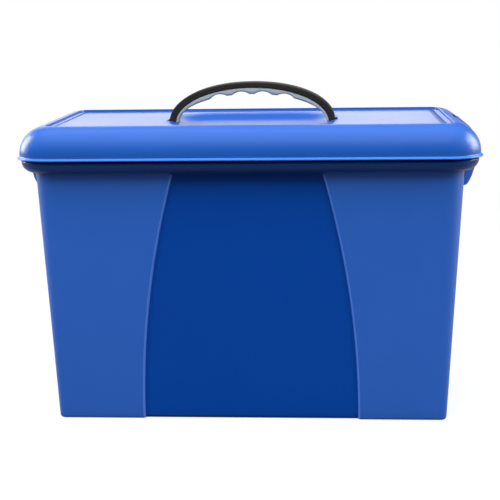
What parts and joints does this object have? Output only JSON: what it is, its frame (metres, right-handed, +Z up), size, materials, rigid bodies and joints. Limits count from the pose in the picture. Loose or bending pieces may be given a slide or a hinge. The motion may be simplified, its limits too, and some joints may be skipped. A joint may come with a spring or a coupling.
{
  "type": "portable file box",
  "caption": "Portable box for suspension files: a blue plastic tub and a lift-off lid with side latches and an arched carrying handle with a grey grip",
  "frame": {"origin": "The middle of the tub's base, on the surface it stands on", "axes": "+X runs along the box's length to the viewer's right, +Y runs to the back, and +Z is up. The handle's arch spans X."},
  "size_m": [0.445, 0.24, 0.3277],
  "materials": {
    "blue_plastic": "moulded plastic with a fine grain",
    "blue_lid_plastic": "smooth moulded plastic, lightly glossy",
    "black_plastic": "satin black plastic",
    "grey_grip": "soft grey over-moulded grip",
    "rail_steel": "zinc-plated strip",
    "pin_steel": "drawn steel wire"
  },
  "bodies": {
    "box": {"tub": "blue_plastic", "file_rail_left": "rail_steel", "file_rail_right": "rail_steel"},
    "cover": {"lid": "blue_lid_plastic", "strap_keeper_left": "black_plastic", "strap_keeper_right": "black_plastic", "latch_pin_left": "pin_steel", "latch_pin_right": "pin_steel"},
    "handle": {"handle_strap": "black_plastic", "handle_grip": "grey_grip"},
    "left_latch": {"latch_left": "blue_lid_plastic"},
    "right_latch": {"latch_right": "blue_lid_plastic"}
  },
  "joints": [
    {"name": "lid_lift", "type": "slide", "parent": "box", "child": "cover", "axis": [0, 0, 1], "range_m": [0, 0.04]},
    {"name": "handle_lift", "type": "slide", "parent": "cover", "child": "handle", "axis": [0, 0, 1], "range_m": [0, 0.003]},
    {"name": "left_latch_swing", "type": "hinge", "parent": "cover", "child": "left_latch", "pos_m": [-0.208, 0, 0.282], "axis": [0, 1, 0], "range_deg": [0, 100]},
    {"name": "right_latch_swing", "type": "hinge", "parent": "cover", "child": "right_latch", "pos_m": [0.208, 0, 0.282], "axis": [0, -1, 0], "range_deg": [0, 100]}
  ],
  "couplings": [
    {"joint": "left_latch_swing", "follows": "lid_lift", "rad_per_m": 43.6},
    {"joint": "right_latch_swing", "follows": "lid_lift", "rad_per_m": 43.6}
  ]
}
